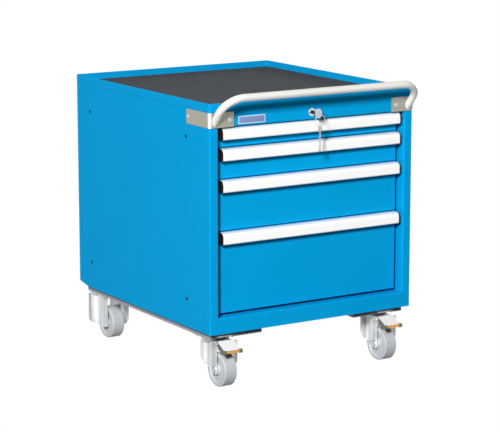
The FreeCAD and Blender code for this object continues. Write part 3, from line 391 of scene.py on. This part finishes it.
def zinc_with_painted_streaks(name, colour, dark, light, metallic):
    """Zinc-plated strip with grey and bright bands that run up and down: painted shade and painted
    highlights.
    """
    material, tree, shader, place = new_material(name)
    stretched = node(tree, "ShaderNodeMapping", {"Vector": place, "Scale": BANDS_ALONG_Z})
    # Up-and-down streaks of painted shade and painted highlight.
    bands = mottled(
        tree, stretched.outputs["Vector"], size_mm=13, low=dark, high=light, detail=1.0)
    tinted(tree, shader, colour, bands)
    shader.inputs["Metallic"].default_value = metallic
    shader.inputs["Roughness"].default_value = 0.38
    relief(tree, shader, mottled(tree, place, size_mm=4), depth_mm=0.01)
    return material


def satin_aluminium(name, colour):
    """Anodised extrusion: fine lines along the profile, drawn a little coarse so they show."""
    material, tree, shader, place = new_material(name)
    stretched = node(tree, "ShaderNodeMapping", {"Vector": place, "Scale": ALONG_X})
    lines = mottled(tree, stretched.outputs["Vector"], size_mm=0.8, detail=3.0)
    tint = node(tree, "ShaderNodeMapRange", {"Value": lines, "To Min": 0.985, "To Max": 1.01})
    tinted(tree, shader, colour, tint.outputs["Result"])
    shader.inputs["Metallic"].default_value = 0.35
    shader.inputs["Roughness"].default_value = 0.42
    relief(tree, shader, lines, depth_mm=0.005)
    return material


def galvanised_sheet(name, colour):
    """Hot-dip galvanised sheet: grey metal with crystals of zinc a few millimetres across."""
    material, tree, shader, place = new_material(name)
    crystals = node(tree, "ShaderNodeTexVoronoi", {
        "Vector": place, "Scale": per_size(size_mm=9)})
    shade = node(tree, "ShaderNodeMapRange", {
        "Value": crystals.outputs["Color"], "To Min": 0.88, "To Max": 1.06})
    tinted(tree, shader, colour, shade.outputs["Result"])
    shader.inputs["Metallic"].default_value = 1.0
    gloss = node(tree, "ShaderNodeMapRange", {
        "Value": crystals.outputs["Color"], "To Min": 0.34, "To Max": 0.5})
    tree.links.new(gloss.outputs["Result"], shader.inputs["Roughness"])
    return material


def brushed_metal(name, colour, roughness, line_mm, along, metallic):
    """Ground or stamped metal: fine lines along one axis, drawn a little coarse so they show."""
    material, tree, shader, place = new_material(name)
    stretched = node(tree, "ShaderNodeMapping", {"Vector": place, "Scale": along})
    lines = mottled(tree, stretched.outputs["Vector"], line_mm, detail=3.0)
    tint = node(tree, "ShaderNodeMapRange", {"Value": lines, "To Min": 0.97, "To Max": 1.03})
    tinted(tree, shader, colour, tint.outputs["Result"])
    shader.inputs["Metallic"].default_value = metallic
    shader.inputs["Roughness"].default_value = roughness
    relief(tree, shader, lines, depth_mm=0.01)
    return material


def moulded_plastic(name, colour, roughness, grain_mm, depth_mm):
    """Injection-moulded plastic with a fine spark-eroded grain."""
    material, tree, shader, place = new_material(name)
    tinted(tree, shader, colour, mottled(tree, place, size_mm=20, low=0.97, high=1.03))
    shader.inputs["Roughness"].default_value = roughness
    shader.inputs["IOR"].default_value = 1.5
    relief(tree, shader, mottled(tree, place, grain_mm), depth_mm)
    return material


def ribbed_rubber(name, colour, rib):
    """Calendered rubber sheet: dull, with fine ribs that run from front to back."""
    material, tree, shader, place = new_material(name)
    cloud = mottled(tree, place, size_mm=60, low=0.95, high=1.05, detail=5.0)
    tinted(tree, shader, colour, cloud)
    shader.inputs["Roughness"].default_value = 0.85
    shader.inputs["IOR"].default_value = 1.5
    shader.inputs["Specular IOR Level"].default_value = 0.02
    ribs = node(tree, "ShaderNodeTexWave", {
        "Vector": place, "Scale": 1.0 / (WAVE_BANDS * rib), "Distortion": 0.0},
        wave_type="BANDS", bands_direction="X", wave_profile="SIN")
    relief(tree, shader, ribs.outputs["Fac"], depth_mm=0.15, strength=0.6)
    return material


def finishes():
    """Every material by its short name, made once."""
    look = bpy.context.scene.cabinet_finish
    sizes = bpy.context.scene.cabinet_sizes
    if not FINISHES:
        FINISHES.update({
            "blue": powder_coat("blue_powder_coat", look.housing),
            "tube": powder_coat(
                "light_grey_powder_coat", look.push_handle, roughness=0.3, gloss=0.5),
            "rail": powder_coat("grey_powder_coat", linear("#9a9ea6")),
            "mat": ribbed_rubber("ribbed_rubber", look.mat, sizes.mat_rib),
            "grip": satin_aluminium("satin_anodised_aluminium", linear("#fbfbfa")),
            "sheet": galvanised_sheet("galvanised_sheet", linear("#bfc3c6")),
            "zinc": zinc_with_painted_streaks(
                "zinc_strip_painted_streaks", linear("#e9ebec"), dark=0.6, light=1.15, metallic=0.4),
            # The pedal's zinc in two copies: near white where its top is painted lit, deep grey
            # where it is painted in shade.
            "pedal_painted_lit_top": zinc_with_painted_streaks(
                "zinc_with_painted_lit_top", linear("#fbfafb"), dark=0.94, light=1.03, metallic=0.1),
            "pedal_painted_shade": zinc_with_painted_streaks(
                "zinc_with_painted_shade", linear("#77787a"), dark=0.7, light=1.1, metallic=0.55),
        })
        for short, name, colour, roughness, grain_mm, depth_mm in (
            ("label", "matt_label_film", look.label, 0.5, 1.0, 0.005),
            ("label_rim", "label_rim_film", linear("#c6defa"), 0.5, 1.0, 0.005),
            ("cap", "black_moulded_abs", linear("#0c0d0e"), 0.45, 0.8, 0.02),
            ("wheel", "light_grey_polyamide", look.wheels, 0.5, 1.5, 0.02),
            ("olive", "olive_end_cap", linear("#626a4e"), 0.45, 0.8, 0.02),
            # The ball race's black ring is painted shade in its gap.
            ("dark", "painted_shade_in_race", linear("#0b0c0e"), 0.5, 0.8, 0.01),
        ):
            FINISHES[short] = moulded_plastic(name, colour, roughness, grain_mm, depth_mm)
        for short, name, colour, roughness, depth_mm in (
            ("screw", "zinc_plated_screw", "#cfd0cf", 0.24, 0.005),
            ("chrome", "polished_chrome", "#e4e4e6", 0.14, 0.002),
            ("plug", "brass_lock_plug", "#a58a5c", 0.3, 0.005),
            ("brass", "yellow_passivated_zinc", "#e0a24a", 0.4, 0.01),
        ):
            FINISHES[short] = plated_metal(name, linear(colour), roughness, depth_mm)
        for short, name, colour, roughness, line_mm, along, metallic in (
            ("bracket", "satin_nickel_plate", "#a5a396", 0.36, 0.8, ALONG_Z, 0.5),
            # The brackets' rounded corners get near-white nickel as a painted highlight.
            ("bracket_bend_highlight", "painted_highlight_on_bend", "#fbfbf6", 0.3, 0.8, ALONG_Z, 0.3),
            ("nickel", "nickel_plated_key", "#b4b2ae", 0.3, 0.6, ALONG_X, 0.5),
            ("bow", "satin_key_bow", "#cfcac8", 0.4, 0.6, ALONG_X, 0.3),
            ("stem", "bronze_key_stem", "#5a443c", 0.4, 0.6, ALONG_X, 1.0),
        ):
            FINISHES[short] = brushed_metal(
                name, linear(colour), roughness, line_mm, along, metallic)
    return FINISHES


# Operators


class CABINET_OT_housing(bpy.types.Operator):
    """Side walls, header, sill, rear and base in powder-coated and galvanised sheet"""
    bl_idname = "cabinet.housing"
    bl_label = "Housing"

    def execute(self, context):
        look = finishes()
        edge = context.scene.cabinet_sizes.panel_edge
        for name in ("left_side_panel", "right_side_panel", "rear_panel",
                     "front_header", "front_sill"):
            dressed(name, look["blue"], edge)
        dressed("base_panel", look["sheet"], edge)
        self.label(look)
        return {"FINISHED"}

    def label(self, look):
        """Bare label plate with a raised rim round its face."""
        piece = dressed("label_plate", look["label_rim"], THIN_EDGE)

        def front(face):
            return face.normal.y < -LOOKS_FORWARD and face.area > LABEL_FACE_AREA

        inset_faces(piece, front, LABEL_RIM, LABEL_RECESS)
        paint_faces(piece, look["label"], front)


class CABINET_OT_top(bpy.types.Operator):
    """Top tray with its rim, and the ribbed mat in it"""
    bl_idname = "cabinet.top"
    bl_label = "Top tray and mat"

    def execute(self, context):
        look = finishes()
        edge = context.scene.cabinet_sizes.panel_edge
        dressed("top_tray", look["blue"], edge)
        dressed("top_mat", look["mat"], edge)
        return {"FINISHED"}


class CABINET_OT_drawers(bpy.types.Operator):
    """Drawer fronts, handle profiles, end caps and trays"""
    bl_idname = "cabinet.drawers"
    bl_label = "Drawers"

    def execute(self, context):
        look = finishes()
        sizes = context.scene.cabinet_sizes
        for drawer in DRAWERS:
            dressed(drawer + "_front", look["blue"], sizes.panel_edge)
            dressed(drawer + "_handle", look["grip"], sizes.metal_edge)
            dressed(drawer + "_handle_caps", look["cap"], sizes.metal_edge)
            dressed(drawer + "_tray", look["sheet"], THIN_EDGE)
        return {"FINISHED"}


class CABINET_OT_push_handle(bpy.types.Operator):
    """Bent tube, corner brackets and their button-head screws"""
    bl_idname = "cabinet.push_handle"
    bl_label = "Push handle"

    def execute(self, context):
        look = finishes()
        sizes = context.scene.cabinet_sizes
        dressed("push_handle", look["tube"], sizes.metal_edge)
        brackets = dressed("handle_brackets", look["bracket"], sizes.panel_edge)
        # A near-white painted highlight on the brackets' rounded corners.
        paint_faces(brackets, look["bracket_bend_highlight"], self.on_bend_highlight)
        screws = dressed("bracket_screws", look["screw"], SCREW_EDGE, segments=3)
        for side in (-1, 1):
            for (x, y), axis in ((FRONT_SCREW, (0, -1, 0)), (SIDE_SCREW, (side, 0, 0))):
                cut_socket(
                    screws, (side * x, y, SCREW_Z), axis, sizes.socket_radius, sizes.socket_depth)
        return {"FINISHED"}

    def on_bend_highlight(self, face):
        """True for the outer faces of a bracket's rounded corner, which carry a painted highlight.
        """
        return abs(face.center.x) > BEND_X and face.center.y < BEND_Y


class CABINET_OT_lock(bpy.types.Operator):
    """Lock with its keys and ring, and the locking bar behind it"""
    bl_idname = "cabinet.lock"
    bl_label = "Lock"

    def execute(self, context):
        look = finishes()
        for name, finish, edge_mm in (
            ("lock_housing", "chrome", 0.4),
            ("lock_plug", "plug", 0.3),
            ("lock_cam", "zinc", 0.3),
            ("locking_bar", "sheet", 0.4),
            ("spare_key", "nickel", 0.3),
            ("key_ring", "chrome", 0.05),
        ):
            dressed(name, look[finish], edge_mm * MM)
        key = dressed("key", look["stem"], THIN_EDGE)
        paint_faces(key, look["bow"], lambda face: face.center.y < KEY_BOW_Y)
        return {"FINISHED"}


class CABINET_OT_runners(bpy.types.Operator):
    """Uprights and telescopic rails inside the housing"""
    bl_idname = "cabinet.runners"
    bl_label = "Runners"

    def execute(self, context):
        look = finishes()
        names = ["runner_uprights", "cabinet_rails"]
        names += [drawer + "_rails" for drawer in DRAWERS]
        names += [drawer + "_middle_rails" for drawer in DRAWERS]
        for name in names:
            dressed(name, look["sheet"], THIN_EDGE)
        return {"FINISHED"}


class CABINET_OT_casters(bpy.types.Operator):
    """Caster rails, plates, forks, axles and wheels"""
    bl_idname = "cabinet.casters"
    bl_label = "Casters"

    def execute(self, context):
        look = finishes()
        edge = context.scene.cabinet_sizes.metal_edge
        dressed("caster_rails", look["rail"], edge)
        dressed("caster_bolts", look["screw"], edge)
        plates = dressed("front_caster_plates", look["zinc"], edge)
        # The ball race's gap is painted black as shade.
        paint_faces(plates, look["dark"], self.on_race_shade)
        dressed("rear_caster_brackets", look["zinc"], edge)
        dressed("rear_caster_axles", look["screw"], edge)
        for side in SIDES:
            dressed("front_" + side + "_fork", look["zinc"], edge)
            dressed("front_" + side + "_axle", look["screw"], edge)
            dressed("front_" + side + "_wheel", look["wheel"], WHEEL_EDGE)
            dressed("rear_" + side + "_wheel", look["wheel"], WHEEL_EDGE)
        return {"FINISHED"}

    def on_race_shade(self, face):
        """True for the faces of the swivel's ball race, outside the king pin, painted black as
        shade.
        """
        away = math.hypot(abs(face.center.x) - CASTER_X, face.center.y - SWIVEL_Y)
        return RACE_LOW < face.center.z < RACE_HIGH and away > RACE_INSIDE


class CABINET_OT_pedals(bpy.types.Operator):
    """Brake pedals of the front casters, with their tread bars"""
    bl_idname = "cabinet.pedals"
    bl_label = "Brake pedals"

    def execute(self, context):
        look = finishes()
        edge = context.scene.cabinet_sizes.metal_edge
        for side in SIDES:
            # The pedal is first painted in shade all over, then its upward faces are painted lit.
            pedal = dressed("front_" + side + "_brake_pedal", look["pedal_painted_shade"], edge)
            paint_faces(pedal, look["pedal_painted_lit_top"], self.on_painted_lit_top)
            paint_faces(pedal, look["brass"], self.on_bar)
            paint_faces(pedal, look["olive"], self.on_cap)
        return {"FINISHED"}

    def bar_distance(self, face):
        """Distance of a face's middle from the axis of the tread bar."""
        return (Vector((face.center.y, face.center.z)) - PEDAL_BAR).length

    def across(self, face):
        """Distance of a face's middle from the middle of its caster, across the cabinet."""
        return abs(abs(face.center.x) - CASTER_X)

    def on_painted_lit_top(self, face):
        """True for the faces of the pedal that look up, apart from the bar; they are painted lit.
        """
        return face.normal.z > LOOKS_UP and self.bar_distance(face) > PEDAL_BAR_RADIUS

    def on_bar(self, face):
        """True for the faces of the tread bar between its end caps."""
        return self.bar_distance(face) < PEDAL_BAR_RADIUS and self.across(face) < PEDAL_CAP_START

    def on_cap(self, face):
        """True for the faces of the tread bar's end caps."""
        return self.bar_distance(face) < PEDAL_CAP_RADIUS and self.across(face) >= PEDAL_CAP_START


class CABINET_OT_stage(bpy.types.Operator):
    """White floor, studio lights and the camera"""
    bl_idname = "cabinet.stage"
    bl_label = "Stage"

    def execute(self, context):
        select_nothing()
        bpy.ops.mesh.primitive_plane_add(size=FLOOR_SIZE, location=(0, 0, FLOOR_Z))
        floor = bpy.context.object
        floor.name = "studio_floor"
        floor.data.materials.append(self.floor_paper())
        self.studio_world(context.scene)
        for light in LIGHTS:
            self.softbox(*light)
        self.camera(context.scene)
        context.scene.view_settings.view_transform = "Standard"
        return {"FINISHED"}

    def seen_directly(self, tree):
        """1 for the camera's own rays and for rays through gloss or glass, else 0."""
        path = node(tree, "ShaderNodeLightPath")
        gloss = node(tree, "ShaderNodeMath", {
            0: path.outputs["Is Camera Ray"], 1: path.outputs["Is Glossy Ray"]},
            operation="MAXIMUM")
        return node(tree, "ShaderNodeMath", {
            0: gloss.outputs[0], 1: path.outputs["Is Transmission Ray"]},
            operation="MAXIMUM").outputs[0]

    def floor_paper(self):
        """Studio paper: pure white to the eye, pale grey to the light that falls on the object."""
        material = bpy.data.materials.new("white_studio_paper")
        material.use_nodes = True
        tree = material.node_tree
        shader = tree.nodes["Principled BSDF"]
        shader.inputs["Base Color"].default_value = (FLOOR_GREY, FLOOR_GREY, FLOOR_GREY, 1.0)
        shader.inputs["Roughness"].default_value = 1.0
        shader.inputs["Specular IOR Level"].default_value = 0.0
        glow = node(tree, "ShaderNodeEmission", {"Color": (1, 1, 1, 1), "Strength": 1.0})
        mix = node(tree, "ShaderNodeMixShader", {
            0: self.seen_directly(tree), 1: shader.outputs[0], 2: glow.outputs[0]})
        tree.links.new(mix.outputs[0], tree.nodes["Material Output"].inputs["Surface"])
        return material

    def studio_world(self, scene):
        """White backdrop to the eye, with weak light from all round on the object."""
        world = bpy.data.worlds.new("studio")
        world.use_nodes = True
        scene.world = world
        tree = world.node_tree
        ambient = tree.nodes["Background"]
        ambient.inputs["Color"].default_value = (1, 1, 1, 1)
        ambient.inputs["Strength"].default_value = AMBIENT_STRENGTH
        backdrop = node(tree, "ShaderNodeBackground", {"Color": (1, 1, 1, 1), "Strength": 1.0})
        mix = node(tree, "ShaderNodeMixShader", {
            0: self.seen_directly(tree), 1: ambient.outputs[0], 2: backdrop.outputs[0]})
        tree.links.new(mix.outputs[0], tree.nodes["World Output"].inputs["Surface"])

    def softbox(self, name, place, size, power):
        """An area light, wide by high, that points at the middle of the object."""
        bpy.ops.object.light_add(type="AREA", location=place)
        light = bpy.context.object
        light.name = name
        light.data.shape = "RECTANGLE"
        light.data.size, light.data.size_y = size
        light.data.energy = power
        aim = (CAD_BOX[0] + CAD_BOX[1]) / 2 - Vector(place)
        light.rotation_euler = aim.to_track_quat("-Z", "Y").to_euler()

    def camera(self, scene):
        bpy.ops.object.camera_add(
            location=CAMERA_PLACE, rotation=(math.pi / 2 - CAMERA_PITCH, 0, -CAMERA_YAW))
        camera = bpy.context.object
        camera.data.lens = CAMERA_LENS_MM
        camera.data.sensor_width = SENSOR_MM
        camera.data.clip_end = CLIP_END
        scene.camera = camera


class CABINET_PT_panel(bpy.types.Panel):
    """Sidebar panel with the cabinet's colours, sizes and building steps"""
    bl_idname = "CABINET_PT_panel"
    bl_label = "Drawer cabinet"
    bl_space_type = "VIEW_3D"
    bl_region_type = "UI"
    bl_category = "Cabinet"

    def draw(self, context):
        for group in (context.scene.cabinet_finish, context.scene.cabinet_sizes):
            for name in group.__annotations__:
                self.layout.prop(group, name)
        for operator in OPERATORS:
            self.layout.operator(operator.bl_idname)


OPERATORS = (
    CABINET_OT_housing, CABINET_OT_top, CABINET_OT_drawers, CABINET_OT_push_handle,
    CABINET_OT_lock, CABINET_OT_runners, CABINET_OT_casters, CABINET_OT_pedals, CABINET_OT_stage,
)
CLASSES = (CabinetFinish, CabinetSizes) + OPERATORS + (CABINET_PT_panel,)


def register():
    for item in CLASSES:
        bpy.utils.register_class(item)
    bpy.types.Scene.cabinet_finish = PointerProperty(type=CabinetFinish)
    bpy.types.Scene.cabinet_sizes = PointerProperty(type=CabinetSizes)


def unregister():
    del bpy.types.Scene.cabinet_sizes
    del bpy.types.Scene.cabinet_finish
    for item in reversed(CLASSES):
        bpy.utils.unregister_class(item)


def main():
    register()
    for operator in OPERATORS:
        category, name = operator.bl_idname.split(".")
        getattr(getattr(bpy.ops, category), name)()


if __name__ == "__main__":
    main()
